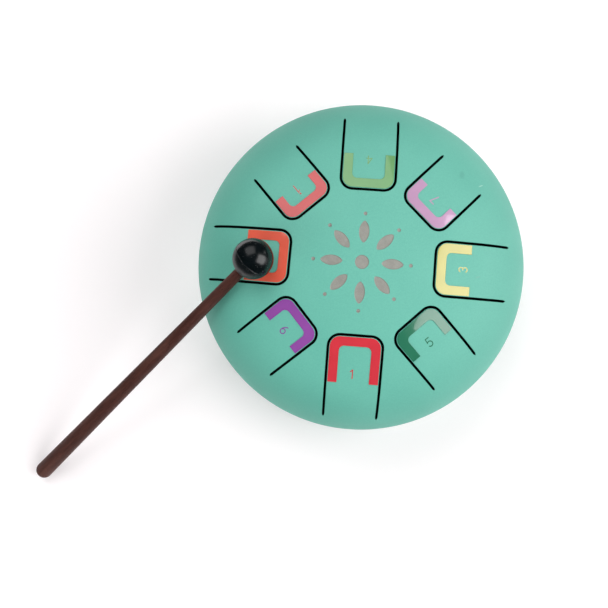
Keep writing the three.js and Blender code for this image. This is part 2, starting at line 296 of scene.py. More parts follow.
def on_tongue(name, x, y):
    """Plan position of a point drawn with the tongue lying along +X."""
    _, azimuth, skew, _, _ = TONGUES[name]
    middle = sum(tongue_span(name)) / 2
    turned = Matrix.Rotation(math.radians(skew), 2) @ Vector((x - middle, y)) + Vector((middle, 0))
    return Matrix.Rotation(math.radians(azimuth), 2) @ turned


def slot_loop(name, grown):
    """Outline of a slot, grown by a margin, narrowing to a point where the beam ran out."""
    tip, root = tongue_span(name)
    path = u_path(tip, root, TONGUE_WIDTH / 2, TONGUE_CORNER)
    sides = []
    for side in (1, -1):
        points = []
        for x, y, out_x, out_y in path:
            left = min(1.0, max(0.0, (root - x) / SLOT_RUN_OUT))
            half = side * (SLOT_WIDTH / 2 * left**RUN_OUT_CURVE + grown)
            points.append((x + out_x * half, y + out_y * half))
        points[0] = (root, points[0][1])
        points[-1] = (root, points[-1][1])
        sides.append(points)
    outer, inner = sides
    end = root + grown + SLOT_POINT
    outline = [*outer[1:-1], (end, TONGUE_WIDTH / 2), *inner[1:-1][::-1], (end, -TONGUE_WIDTH / 2)]
    return [on_tongue(name, x, y) for x, y in outline[::-1]]


def petal_loops():
    """Outer and inner outlines of the etched petals, dots and heart."""
    inner_end, outer_end = PETAL_REACH
    middle = (inner_end + outer_end) / 2
    marks = []
    for i in range(PETALS):
        turn = Matrix.Rotation(2 * math.pi * i / PETALS, 2)
        loops = []
        for inset in (0, ETCH_DEPTH):
            long = (outer_end - inner_end) / 2 - inset * ETCH_TIP_SLOPE
            wide = PETAL_WIDTH / 2 - inset
            outline = []
            for k in range(2 * PETAL_STEPS):
                a = math.pi * k / PETAL_STEPS
                x = -math.cos(a) * long
                y = -math.sin(a) * abs(math.sin(a)) ** PETAL_BLUNTNESS * wide
                outline.append(turn @ Vector((middle + x, y)))
            loops.append(outline)
        marks.append(loops)
        dot = turn @ Vector((PETAL_DOT[0], 0))
        marks.append([circle(PETAL_DOT[1] - inset, DOT_STEPS, dot) for inset in (0, ETCH_DEPTH)])
    marks.append([circle(PETAL_HEART - inset, HEART_STEPS) for inset in (0, ETCH_DEPTH)])
    return marks


def linear(colour):
    """A colour written in hex, as the shader wants it."""
    parts = [int(colour[i:i + 2], 16) / 255 for i in (0, 2, 4)]
    return tuple(c / 12.92 if c < 0.04045 else ((c + 0.055) / 1.055) ** 2.4 for c in parts) + (1.0,)


class Socket:
    """An output of a shader node. Sums written with it become Math nodes."""

    def __init__(self, finish, output):
        self.finish = finish
        self.output = output

    def maths(self, operation, one, two=0.0):
        return self.finish.node("ShaderNodeMath", {"operation": operation}, {0: one, 1: two})

    def __add__(self, other):
        return self.maths("ADD", self, other)

    def __radd__(self, other):
        return self.maths("ADD", other, self)

    def __sub__(self, other):
        return self.maths("SUBTRACT", self, other)

    def __rsub__(self, other):
        return self.maths("SUBTRACT", other, self)

    def __mul__(self, other):
        return self.maths("MULTIPLY", self, other)

    def __rmul__(self, other):
        return self.maths("MULTIPLY", other, self)

    def between(self, low, high):
        """0 below low, 1 above high, smooth from one to the other."""
        settings = {"interpolation_type": "SMOOTHSTEP"}
        return self.finish.node("ShaderNodeMapRange", settings, {0: self, 1: low, 2: high})


class Finish:
    """A material. Plain values sit on the shader's own sockets, and nodes feed what varies."""

    def __init__(self, name, values, place=Matrix.Identity(4)):
        self.material = bpy.data.materials.new(name)
        self.material.use_nodes = True
        self.tree = self.material.node_tree
        self.shader = self.tree.nodes["Principled BSDF"]
        self.feed(values)
        turned_back = {
            "Vector": self.node("ShaderNodeTexCoord", output="Object"),
            "Location": place.translation,
            "Rotation": place.to_euler(),
            "Scale": (MM,) * 3,
        }
        self.place = self.node("ShaderNodeMapping", {"vector_type": "TEXTURE"}, turned_back)

    def feed(self, values, node=None):
        for socket, value in values.items():
            target = (node or self.shader).inputs[socket]
            if isinstance(value, Socket):
                self.tree.links.new(value.output, target)
            else:
                target.default_value = value

    def node(self, kind, settings=None, values=None, output=0):
        node = self.tree.nodes.new(kind)
        for key, value in (settings or {}).items():
            setattr(node, key, value)
        self.feed(values or {}, node)
        return Socket(self, node.outputs[output])

    def scaled(self, vector, by):
        return self.node("ShaderNodeVectorMath", {"operation": "MULTIPLY"}, {0: vector, 1: by})

    def noise(self, size, detail=2.0, stretch=1.0, roughness=0.5):
        """Cloudy values about 0.5, with features of this size, drawn out along Z by stretch."""
        place = self.scaled(self.place, (1 / size, 1 / size, 1 / size / stretch))
        values = {"Vector": place, "Scale": 1.0, "Detail": detail, "Roughness": roughness}
        return self.node("ShaderNodeTexNoise", None, values)

    def away_from(self, centre, reach, turn):
        """0 at a centre and 1 at this reach from it, along and across a turned direction."""
        local = self.node("ShaderNodeMapping", {"vector_type": "TEXTURE"}, {
            "Vector": self.place,
            "Location": centre,
            "Rotation": (0, 0, math.radians(turn)),
            "Scale": reach,
        })
        return self.node("ShaderNodeVectorMath", {"operation": "LENGTH"}, {0: local}, 1)

    def blend(self, factor, one, two):
        """Colour one where factor is 0 and colour two where it is 1."""
        return self.node("ShaderNodeMix", {"data_type": "RGBA"}, {0: factor, 6: one, 7: two}, 2)

    def views(self):
        """1 for what the camera sees straight on, and 1 for what it sees mirrored or through glass."""
        rays = ("Is Camera Ray", "Is Glossy Ray", "Is Transmission Ray")
        camera, glossy, clear = [self.node("ShaderNodeLightPath", output=ray) for ray in rays]
        return camera, glossy.maths("MAXIMUM", glossy, clear)

    def relief(self, height, distance):
        """Raises the surface by height times a distance in millimetres."""
        bump = self.node("ShaderNodeBump", None, {"Height": height, "Distance": distance * MM})
        self.feed({"Normal": bump})


def powder_coat(name):
    """Satin powder coat: fine grains, a slow orange peel, and slightly cloudy colour."""
    coat = Finish(name, {"Specular IOR Level": 0.95}, Matrix.Translation(drum_axis))
    grain = coat.noise(0.6, 3.0)
    peel = coat.noise(1.9, 1.0)
    cloud = coat.noise(23.0, 2.0)
    tone = coat.blend((0.35 * cloud + 0.65 * grain).between(0.3, 0.7), linear(MINT_DEEP), linear(MINT))
    for (x, y), (long, wide), turn, colour, strength in MARKS.values():
        centre = (x, y, dome(math.hypot(x, y)))
        away = coat.away_from(centre, (long, wide, long), turn)
        tone = coat.blend((1 - away.between(0.3, 1.0)) * strength, tone, linear(colour))
    coat.feed({"Base Color": tone, "Roughness": 0.62 + 0.16 * grain})
    coat.relief(grain * 0.35 + peel, 0.02)
    return coat


def bare_steel(name, colour, metal, roughness):
    """Uncoated sheet steel with a fine, uneven grain."""
    steel = Finish(name, {"Metallic": metal})
    grain = steel.noise(0.3, 4.0)
    stain = steel.noise(3.5, 3.0)
    darker = tuple(0.8 * c for c in linear(colour)[:3]) + (1.0,)
    shade = steel.blend((0.5 * grain + 0.5 * stain).between(0.32, 0.68), darker, linear(colour))
    steel.feed({"Base Color": shade, "Roughness": roughness + 0.25 * (grain - 0.5)})
    steel.relief(grain, 0.03)
    return steel


mint_coat = powder_coat("mint_powder_coat")
steel_etched = bare_steel("etched_steel", STEEL_ETCHED, 0.25, 0.55)
steel_inside = bare_steel("steel_inside", STEEL_INSIDE, 0.6, 0.6)
# The rounded cut edges are painted with a highlight: the deeper mint mottled with a paler mint, standing
# for the thin light line along the slots, with little sheen.
edge_highlight = Finish("painted_edge_highlight", {"Specular IOR Level": 0.2})
edge_highlight_grain = edge_highlight.noise(1.1, 3.0)
edge_highlight.feed({
    "Base Color": edge_highlight.blend(edge_highlight_grain.between(0.5, 0.75), linear(MINT_DEEP), linear(MINT_EDGE_HIGHLIGHT)),
    "Roughness": 0.6 + 0.2 * edge_highlight_grain,
})
edge_highlight.relief(edge_highlight_grain, 0.02)

# the coat is finish 0 of the top shell, and these are its others
EDGE_HIGHLIGHT, INSIDE, ETCHED = 1, 2, 3
top = Surface()
slot_names = list(TONGUES)
guard = EDGE_ROUND + EDGE_GUARD
plan, ring, cuts, triangles = flat_pattern(
    circle(PATTERN_RADIUS, ROUND_STEPS),
    [slot_loop(name, guard) for name in slot_names],
    petal_loops(),
    PATTERN_STEP,
)
sunk = {corner for corners, _, floor in triangles if floor for corner in corners}
skin = top.loop([(*p, dome(p.length) - (ETCH_DEPTH if i in sunk else 0)) for i, p in enumerate(plan)])
lining = top.loop([(*p, dome(p.length, SHEET)) for p in plan])
for corners, marked, _ in triangles:
    top.face([skin[i] for i in corners], ETCHED if marked else 0)
    top.face([lining[i] for i in corners[::-1]], INSIDE)
for name, cut in zip(slot_names, cuts):
    edges = [[skin[i] for i in cut]]
    for step in range(5):
        lean = math.radians(90 * step / 4)
        outline = slot_loop(name, EDGE_ROUND * (1 - math.sin(lean)))
        drop = EDGE_ROUND * (1 - math.cos(lean))
        edges.append(top.loop([(*p, dome(p.length) - drop) for p in outline]))
    foot_of_wall = top.loop([(*p, dome(p.length, SHEET)) for p in slot_loop(name, 0)])
    top.band(edges[0], edges[1])
    # the rounding carries the painted edge highlight
    top.bands(edges[1:], EDGE_HIGHLIGHT)
    top.bands([edges[-1], foot_of_wall, [lining[i] for i in cut]], INSIDE)
outer_angle = math.degrees(math.acos((PATTERN_RADIUS - shoulder_centre) / SHOULDER_RADIUS))
inner_angle = math.degrees(math.acos((PATTERN_RADIUS - shoulder_centre) / (SHOULDER_RADIUS - SHEET)))
shoulder = (shoulder_centre, shoulder_height)
outside = top.rings([
    *arc(shoulder, SHOULDER_RADIUS, outer_angle, 0, 16)[1:],
    *[(DRUM_RADIUS, shoulder_height - SKIRT_HEIGHT * i / 5) for i in range(1, 5)],
    *arc((DRUM_RADIUS - SEAM_ROUND, seam_height + SEAM_ROUND), SEAM_ROUND, 0, -90, 4),
])
inside = top.rings([
    (DRUM_RADIUS - SHEET, seam_height),
    *arc(shoulder, SHOULDER_RADIUS - SHEET, 0, inner_angle, 10)[:-1],
])
top.bands([[skin[i] for i in ring], *outside, inside[0]])
top.bands([*inside, [lining[i] for i in ring]], INSIDE)
top_shell = top.piece("top_shell_coated", [mint_coat, edge_highlight, steel_inside, steel_etched])
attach(top_shell, "drum")
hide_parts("top_shell")

# Bottom shell. The same sheet pressed into a bowl with a flat base, joined to the top shell by a
# lip that nests inside the skirt. The base has a round sound hole and three holes for the feet.
# It is powder coated with the top, so the coat is the same and the inside is bare.
BASE_HEIGHT = 6.0
BASE_CORNER_RADIUS = 26.0
SOUND_HOLE_RADIUS = 19.0
LIP_HEIGHT = 4.0
LIP_CLEARANCE = 0.2
JOGGLE_HEIGHT = 2.5
FOOT_COUNT = 3
FOOT_CIRCLE = 42.0
SCREW_HOLE_RADIUS = 1.65
SCREW_HOLE_STEPS = 32
SOUND_HOLE_STEPS = 128
BASE_PATTERN_STEP = 3.0
# the coat is finish 0 of the bottom shell, and its bare inside is this one
BARE = 1

foot_places = [
    (FOOT_CIRCLE * math.cos(a), FOOT_CIRCLE * math.sin(a))
    for a in [math.radians(90 + 360 * i / FOOT_COUNT) for i in range(FOOT_COUNT)]
]
bottom = Surface()
base_flat = DRUM_RADIUS - BASE_CORNER_RADIUS
holes = [(SOUND_HOLE_RADIUS, (0, 0), SOUND_HOLE_STEPS)]
holes += [(SCREW_HOLE_RADIUS, place, SCREW_HOLE_STEPS) for place in foot_places]
plan, ring, cuts, triangles = flat_pattern(
    circle(base_flat, ROUND_STEPS),
    [circle(radius + guard, steps, centre) for radius, centre, steps in holes],
    [],
    BASE_PATTERN_STEP,
)
skin = bottom.loop([(*p, BASE_HEIGHT) for p in plan])
lining = bottom.loop([(*p, BASE_HEIGHT + SHEET) for p in plan])
for corners, _, _ in triangles:
    bottom.face([skin[i] for i in corners[::-1]])
    bottom.face([lining[i] for i in corners], BARE)
for (radius, centre, steps), cut in zip(holes, cuts):
    edges = [[skin[i] for i in cut]]
    for height, side in ((BASE_HEIGHT + EDGE_ROUND, 1), (BASE_HEIGHT + SHEET - EDGE_ROUND, -1)):
        for step in range(5):
            lean = math.radians(90 * (step if side > 0 else 4 - step) / 4)
            grown = radius + EDGE_ROUND * (1 - math.sin(lean))
            z = height - side * EDGE_ROUND * math.cos(lean)
            edges.append(bottom.loop([(x, y, z) for x, y in circle(grown, steps, centre)]))
    bottom.bands([*edges, [lining[i] for i in cut]])
lip = DRUM_RADIUS - SHEET - LIP_CLEARANCE
corner = (base_flat, BASE_HEIGHT + BASE_CORNER_RADIUS)
outside = bottom.rings([
    *arc(corner, BASE_CORNER_RADIUS, -90, 0, 30)[1:],
    *[(DRUM_RADIUS, corner[1] + (seam_height - SEAM_ROUND - corner[1]) * i / 5) for i in range(1, 5)],
    *arc((DRUM_RADIUS - SEAM_ROUND, seam_height - SEAM_ROUND), SEAM_ROUND, 0, 90, 4),
    (lip, seam_height),
    (lip, seam_height + LIP_HEIGHT),
    (lip - SHEET, seam_height + LIP_HEIGHT),
])
inside = bottom.rings([
    (lip - SHEET, seam_height),
    (DRUM_RADIUS - SHEET, seam_height - JOGGLE_HEIGHT),
    *arc(corner, BASE_CORNER_RADIUS - SHEET, 0, -90, 24)[:-1],
])
bottom.bands([[skin[i] for i in ring], *outside])
bottom.bands([outside[-1], *inside, [lining[i] for i in ring]], BARE)
bottom_shell = bottom.piece("bottom_shell_coated", [mint_coat, steel_inside])
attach(bottom_shell, "drum")
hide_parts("bottom_shell")

# Decals. Eight pieces of glossy printed vinyl cut to a U and pressed on by hand just inside each
# slot. The film is a fifth of a millimetre thick with a cut edge, and it isn't quite flat, so the
# reflections of the lamps have wavy edges.
DECAL_MARGIN = 0.28
DECAL_BAND = 4.1
DECAL_INNER_CORNER = 2.3
DECAL_THICKNESS = 0.2
DECAL_GLUE = 0.05
DECAL_EDGE_ROUND = 0.04
DECAL_STEP = 0.8
# length of the two arms, and the colour of the film
DECALS = {
    "1": (20.7, "d43945"),
    "2": (19.0, "ea634d"),
    "3": (15.4, "bcb450"),
    "4": (15.5, "6da467"),
    "5": (14.0, "2c7559"),
    "6": (13.3, "934fa4"),
    "7": (11.5, "c59bbd"),
    "8": (11.5, "cb4d4e"),
}


def printed_film(name, colour):
    """Glossy vinyl film: even colour, clear coat, low waves and a trace of fine texture."""
    film = Finish(name, {"Coat Weight": 1.0, "Coat Roughness": 0.03})
    cloud = film.noise(9.0, 2.0)
    shade = tuple(0.93 * c for c in linear(colour)[:3]) + (1.0,)
    film.feed({
        "Base Color": film.blend(cloud.between(0.3, 0.7), shade, linear(colour)),
        "Roughness": 0.1 + 0.08 * film.noise(0.6, 2.0),
    })
    film.relief(film.noise(5.5, 1.0) + 0.02 * film.noise(0.5, 2.0), 0.09)
    return film


films = {name: printed_film(f"film_{name}", colour) for name, (_, colour) in DECALS.items()}
for name, (arm, _) in DECALS.items():
    tip, _ = tongue_span(name)
    tip += SLOT_WIDTH / 2 + DECAL_MARGIN
    half = (TONGUE_WIDTH - SLOT_WIDTH) / 2 - DECAL_MARGIN
    corner_radius = TONGUE_CORNER - SLOT_WIDTH / 2 - DECAL_MARGIN
    straight_end = tip + arm
    outer = u_path(tip, straight_end, half, corner_radius, DECAL_STEP)
    count = len(outer)
    inner = []
    inside_tip, inside_half = tip + DECAL_BAND, half - DECAL_BAND
    inner_path = u_path(inside_tip, straight_end, inside_half, DECAL_INNER_CORNER, DECAL_STEP)
    # the inner edge is shared out evenly over as many points as the outer edge
    for i in range(count):
        at = i * (len(inner_path) - 1) / (count - 1)
        low = inner_path[int(at)]
        high = inner_path[min(int(at) + 1, len(inner_path) - 1)]
        inner.append([a + (b - a) * (at - int(at)) for a, b in zip(low, high)])
    film = Surface()
    base = DECAL_GLUE
    full = DECAL_GLUE + DECAL_THICKNESS
    slant = DECAL_EDGE_ROUND * 0.3
    across = [(0, base), (0, full - DECAL_EDGE_ROUND), (slant, full - slant)]
    across += [(DECAL_EDGE_ROUND, full), (DECAL_EDGE_ROUND * 1.4, full)]
    across += [(DECAL_BAND * i / 5, full) for i in range(1, 5)]
    across += [(DECAL_BAND - inset, height) for inset, height in across[:5][::-1]]
    rows = []
    for inset, height in across:
        row = []
        for o, i in zip(outer, inner):
            x = o[0] + (i[0] - o[0]) * inset / DECAL_BAND
            y = o[1] + (i[1] - o[1]) * inset / DECAL_BAND
            p = on_tongue(name, x, y)
            row.append((*p, dome(p.length) + height))
        rows.append(film.loop(row))
    film.bands([*rows, rows[0]], 0, False)
    film.face([row[0] for row in rows])
    film.face([row[-1] for row in rows])
    decal = film.piece(f"decal_film_{name}", [films[name]], 50.0)
    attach(decal, "drum")
    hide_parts(f"decal_{name}")

# Numerals. Each tongue carries its number in thin pen strokes of the decal's own ink, printed with
# the top towards the middle of the drum. The high note is a 1 with a dot above it.
NUMERAL_THICKNESS = 0.03
NUMERAL_LIFT = 0.03
PEN_WIDTH = 0.46
PEN_OVERLAP = 0.004
PEN_END_STEPS = 5
PEN_END_TURN = 86.0
FIGURE_MIDDLE = (0.3, 0.5)
# strokes of each figure, drawn one unit high
FIGURES = {
    "1": [[(0.14, 0.8), (0.38, 1.0), (0.38, 0.0)]],
    "2": [[*arc((0.3, 0.72), 0.28, 170, -38, 14), (0.03, 0.0), (0.6, 0.0)]],
    "3": [[*arc((0.28, 0.75), 0.25, 155, -75, 14)], [*arc((0.28, 0.27), 0.27, 90, -150, 16)]],
    "4": [[(0.44, 1.0), (0.0, 0.3), (0.64, 0.3)], [(0.44, 1.0), (0.44, 0.0)]],
    "5": [[(0.55, 1.0), (0.13, 1.0), (0.08, 0.55), *arc((0.28, 0.32), 0.3, 128, -145, 18)]],
    "6": [[*arc((0.75, 0.35), 0.73, 118, 174, 10), *arc((0.3, 0.3), 0.28, 180, 520, 24)]],
    "7": [[(0.04, 1.0), (0.58, 1.0), (0.2, 0.0)]],
}
# the figure, its height, and its middle along and across the tongue
NUMERALS = {
    "1": ("1", 3.8, 49.9, -0.7),
    "2": ("2", 3.9, 46.8, 0.0),
    "3": ("3", 3.8, 45.1, 0.3),
    "4": ("4", 3.6, 46.2, 0.0),
    "5": ("5", 4.0, 46.4, -0.3),
    "6": ("6", 4.0, 45.8, 0.0),
    "7": ("7", 4.0, 43.0, 0.3),
    "8": ("1", 3.9, 44.0, 0.3),
}
DOT_PLACE = 41.2
DOT_RADIUS = 0.42


def pen_stroke(points, half):
    """Pairs of points on the two sides of a stroke with round ends."""
    points = [Vector(p) for p in points]
    steps = [(b - a).normalized() for a, b in zip(points, points[1:])]
    rows = []
    for at, before, after in zip(points, [steps[0], *steps], [*steps, steps[-1]]):
        along = (before + after).normalized()
        side = along.orthogonal() * half / max(0.5, along.dot(after))
        rows.append((at + side, at - side))
    for end, along in ((0, -steps[0]), (-1, steps[-1])):
        at = points[end]
        side = (rows[end][0] - rows[end][1]) / 2
        for k in range(1, PEN_END_STEPS + 1):
            turn = math.radians(PEN_END_TURN * k / PEN_END_STEPS)
            middle = at + along * half * math.sin(turn)
            row = (middle + side * math.cos(turn), middle - side * math.cos(turn))
            rows.insert(0 if end == 0 else len(rows), row)
    return rows


for name, (figure, height, along, aside) in NUMERALS.items():
    strokes = []
    for stroke in FIGURES[figure]:
        spots = [(along - (up - FIGURE_MIDDLE[1]) * height, aside + (across - FIGURE_MIDDLE[0]) * height)
                 for across, up in stroke]
        strokes.append(pen_stroke(spots, PEN_WIDTH / 2))
    if name == "8":
        strokes.append(pen_stroke([(DOT_PLACE, aside), (DOT_PLACE + 0.01, aside)], DOT_RADIUS))
    ink = Surface()
    for order, rows in enumerate(strokes):
        edges = []
        for side, lift in ((0, NUMERAL_THICKNESS), (1, NUMERAL_THICKNESS), (1, 0), (0, 0)):
            spots = [on_tongue(name, *row[side]) for row in rows]
            rise = NUMERAL_LIFT + order * PEN_OVERLAP + lift
            edges.append(ink.loop([(*p, dome(p.length) + rise) for p in spots]))
        ink.bands([*edges, edges[0]], 0, False)
        ink.face([edge[0] for edge in edges])
        ink.face([edge[-1] for edge in edges])
    numeral = ink.piece(f"numeral_{name}", [films[name]])
    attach(numeral, "drum")

# Feet. Three moulded rubber buttons keep the drum off the table. Each is held by a zinc plated
# pan head screw with a washer in the foot's recess, and a nut on the inside of the base.
FOOT_TOP_RADIUS = 8.0
FOOT_BOTTOM_RADIUS = 7.2
FOOT_EDGE = 0.8
FOOT_RECESS_RADIUS = 4.3
FOOT_WEB = 2.4
WASHER_RADIUS = 4.0
WASHER_THICKNESS = 0.7
SCREW_RADIUS = 1.5
SCREW_LENGTH = 8.0
SCREW_HEAD_RADIUS = 2.8
SCREW_HEAD_HEIGHT = 2.0
SCREW_HEAD_CROWN = 4.2
SCREW_HEAD_TOP_RADIUS = 2.24
THREAD_START = 0.5
THREAD_PITCH = 0.5
THREAD_CREST = 0.08
THREAD_DEPTH = 0.22
CROSS_ARM = (1.75, 0.36)
CROSS_DEPTH = 0.9
CROSS_TAPER = 0.14
CROSS_PATTERN_STEP = 0.3
NUT_FLATS = 5.5
NUT_HEIGHT = 2.4
NUT_FACE = 5.39
NUT_MOUTH = 0.35
NUT_BEVEL = 30.0
NUT_STEPS = 96
SMALL_STEPS = 64
RUBBER_BLACK = "151616"
RUBBER_BLOOM = "2a2b2b"
ZINC_DULL = "a9adb2"
ZINC_BRIGHT = "c3c6c8"

rubber = Finish("foot_rubber", {"Specular IOR Level": 0.35})
rubber_grain = rubber.noise(0.25, 3.0)
rubber_bloom = rubber.noise(4.0, 3.0)
bloomed = rubber_bloom.between(0.35, 0.75)
rubber.feed({
    "Base Color": rubber.blend(bloomed, linear(RUBBER_BLACK), linear(RUBBER_BLOOM)),
    "Roughness": 0.62 + 0.2 * rubber_bloom,
})
rubber.relief(rubber_grain, 0.03)
zinc = Finish("zinc_plate", {"Metallic": 1.0})
zinc_grain = zinc.noise(0.35, 3.0)
zinc_patch = zinc.noise(1.6, 2.0)
zinc.feed({
    "Base Color": zinc.blend(zinc_patch.between(0.3, 0.7), linear(ZINC_DULL), linear(ZINC_BRIGHT)),
    "Roughness": 0.24 + 0.2 * zinc_grain,
})
zinc.relief(zinc_grain, 0.01)

washer_top = BASE_HEIGHT - FOOT_WEB
head_top = washer_top - WASHER_THICKNESS
head_low = head_top - SCREW_HEAD_HEIGHT


def rounded(points, radius, steps=4):
    """A closed profile with every corner rounded off by up to this radius."""
    smooth = []
    for i, at in enumerate(points):
        at = Vector(at)
        back = Vector(points[i - 1]) - at
        on = Vector(points[(i + 1) % len(points)]) - at
        cut = min(radius, back.length * 0.45, on.length * 0.45)
        one, two = at + back.normalized() * cut, at + on.normalized() * cut
        for k in range(steps + 1):
            t = k / steps
            smooth.append(tuple(one * (1 - t) ** 2 + at * 2 * t * (1 - t) + two * t**2))
    return smooth


def turned(profile, steps=SMALL_STEPS):
    """A ring-shaped solid turned from a closed profile."""
    body = Surface()
    rings = body.rings(profile, steps)
    body.bands([*rings, rings[0]])
    return body


foot_profile = rounded([
    (FOOT_RECESS_RADIUS, 0),
    (FOOT_BOTTOM_RADIUS - FOOT_EDGE, 0),
    (FOOT_BOTTOM_RADIUS, FOOT_EDGE),
    (FOOT_TOP_RADIUS, BASE_HEIGHT),
    (SCREW_HOLE_RADIUS, BASE_HEIGHT),
    (SCREW_HOLE_RADIUS, washer_top),
    (FOOT_RECESS_RADIUS, washer_top),
], 0.4)
washer_profile = rounded([
    (SCREW_HOLE_RADIUS, head_top),
    (WASHER_RADIUS, head_top),
    (WASHER_RADIUS, washer_top),
    (SCREW_HOLE_RADIUS, washer_top),
], 0.12)


def cross(grown):
    """Outline of the screw's cross recess."""
    long, wide = CROSS_ARM[0] + grown, CROSS_ARM[1] + grown
    quarter = [(long, -wide), (long, wide), (wide * 1.35, wide * 1.35)]
    points = []
    for i in range(4):
        turn = Matrix.Rotation(math.pi * i / 2, 2)
        points += [turn @ Vector(p) for p in quarter]
    return points


def screw_surface():
    """A pan head with a cross recess, and a shank with its thread cut as rings."""
    body = Surface()
    plan, ring, _, triangles = flat_pattern(
        circle(SCREW_HEAD_TOP_RADIUS, SMALL_STEPS),
        [],
        [[cross(0.0), cross(-CROSS_TAPER)]],
        CROSS_PATTERN_STEP,
    )
    sunk = {corner for corners, _, floor in triangles if floor for corner in corners}
    skin = []
    for i, p in enumerate(plan):
        bulge = SCREW_HEAD_CROWN - math.sqrt(SCREW_HEAD_CROWN**2 - p.length_squared)
        skin.append((*p, head_low + bulge + (CROSS_DEPTH if i in sunk else 0)))
    skin = body.loop(skin)
    for corners, _, _ in triangles:
        body.face([skin[i] for i in corners])
    rise = SCREW_HEAD_CROWN - math.sqrt(SCREW_HEAD_CROWN**2 - SCREW_HEAD_TOP_RADIUS**2)
    edge = SCREW_HEAD_RADIUS - SCREW_HEAD_TOP_RADIUS
    root = SCREW_RADIUS - THREAD_DEPTH
    shank = []
    z = head_top + THREAD_START
    while z < head_top + SCREW_LENGTH - THREAD_PITCH:
        shank += [(SCREW_RADIUS, z), (SCREW_RADIUS, z + THREAD_CREST), (root, z + THREAD_PITCH / 2)]
        z += THREAD_PITCH
    rings = body.rings([
        *arc((SCREW_HEAD_RADIUS - edge, head_low + rise + edge), edge, -60, 0, 4),
        (SCREW_HEAD_RADIUS, head_top - 0.1),
        (SCREW_HEAD_RADIUS - 0.1, head_top),
        (SCREW_RADIUS, head_top),
        *shank,
        (root, head_top + SCREW_LENGTH),
        (0, head_top + SCREW_LENGTH),
    ], SMALL_STEPS)
    body.bands([[skin[i] for i in ring], *rings])
    return body


def nut_surface():
    """A hexagon whose corners are turned off to a cone above and below."""
    body = Surface()
    low, high = BASE_HEIGHT + SHEET, BASE_HEIGHT + SHEET + NUT_HEIGHT
    angles = [2 * math.pi * i / NUT_STEPS for i in range(NUT_STEPS)]
    reach = [NUT_FLATS / 2 / math.cos((a + math.pi / 6) % (math.pi / 3) - math.pi / 6) for a in angles]
    drops = [max(0, r - NUT_FACE / 2) * math.tan(math.radians(NUT_BEVEL)) for r in reach]

    def level(radius, height):
        return body.loop([(x, y, height) for x, y in circle(radius, NUT_STEPS)])

    def corners(side, height):
        return body.loop([(r * math.cos(a), r * math.sin(a), height + side * d)
                          for a, r, d in zip(angles, reach, drops)])

    bore, mouth = SCREW_RADIUS + 0.02, SCREW_RADIUS + NUT_MOUTH
    loops = [
        level(mouth, low),
        level(NUT_FACE / 2, low),
        corners(1, low),
        corners(-1, high),
        level(NUT_FACE / 2, high),
        level(mouth, high),
        level(bore, high - NUT_MOUTH),
        level(bore, low + NUT_MOUTH),
    ]
    body.bands([*loops, loops[0]])
    return body


for i, (x, y) in enumerate(foot_places, 1):
    stand = Matrix.Translation(drum_axis + Vector((x, y, 0)) * MM)
    for name, surface, finish, slot in (
        ("foot", turned(foot_profile), rubber, "rubber_foot"),
        ("foot_washer", turned(washer_profile), zinc, "fastener"),
        ("foot_screw", screw_surface(), zinc, "fastener"),
        ("foot_nut", nut_surface(), zinc, "fastener"),
    ):
        piece = surface.piece(f"{name}_{i}_detailed", [finish], 30.0, stand)
        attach(piece, "drum")
        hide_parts(f"{name}_{i}")

# Mallet stick. A turned hardwood dowel that tapers from a round butt to the ball, stained a dark
# red brown and sealed with a thin satin lacquer that sinks into the open pores.
MALLET_LENGTH = 192.0
BALL_RADIUS = 9.2
STICK_BUTT_RADIUS = 4.2
STICK_NECK_RADIUS = 2.5
STICK_IN_BALL = 11.0
STICK_END_CHAMFER = 0.6
SOCKET_CLEARANCE = 0.1
MALLET_TONGUE = "2"
BALL_FROM_TIP = 15.6
BALL_ASIDE = 2.3
BALL_REST_GAP = 0.2
LEAN_AZIMUTH = 226.3
STAIN_DARK = "3c231e"
STAIN_RED = "4c2c26"
STAIN_LIGHT = "66433b"
STAIN_IN_PORES = "140a09"
SHAFT_STEPS = 40
BUTT_STEPS = 24

butt_below_ball = MALLET_LENGTH - BALL_RADIUS - STICK_BUTT_RADIUS
socket_floor = STICK_IN_BALL - BALL_RADIUS
azimuth = math.radians(TONGUES[MALLET_TONGUE][1])
ball_spot = Vector((tongue_span(MALLET_TONGUE)[0] + BALL_FROM_TIP, BALL_ASIDE, 0))
ball_centre = Matrix.Rotation(azimuth, 3, "Z") @ ball_spot
ball_reach = BALL_RADIUS + BALL_REST_GAP
ball_centre.z = dome(ball_centre.length, -ball_reach)
rise = (ball_centre.z - STICK_BUTT_RADIUS) / butt_below_ball
level = math.sqrt(1 - rise**2)
lean = math.radians(LEAN_AZIMUTH)
towards_ball = Vector((-level * math.cos(lean), -level * math.sin(lean), rise))
mallet_place = (
    Matrix.Translation(drum_axis + ball_centre * MM)
    @ Vector((0, 0, 1)).rotation_difference(towards_ball).to_matrix().to_4x4()
)

wood = Finish("stained_wood", {"Specular IOR Level": 0.2}, mallet_place)
fibre = wood.noise(0.45, 4.0, 10.0, 0.6)
figure = wood.noise(2.6, 2.0, 8.0)
pores = wood.noise(0.3, 2.0, 6.0)
blotch = wood.noise(6.0, 2.0, 4.0)
pore_mask = pores.between(0.6, 0.72)
stain = wood.blend(fibre.between(0.3, 0.7), linear(STAIN_DARK), linear(STAIN_RED))
stain = wood.blend((0.6 * figure + 0.4 * blotch).between(0.42, 0.72) * 0.6, stain, linear(STAIN_LIGHT))
wood.feed({
    "Base Color": wood.blend(pore_mask * 0.75, stain, linear(STAIN_IN_PORES)),
    "Roughness": 0.42 + 0.25 * fibre,
})
wood.relief(fibre * 0.6 - pore_mask, 0.05)

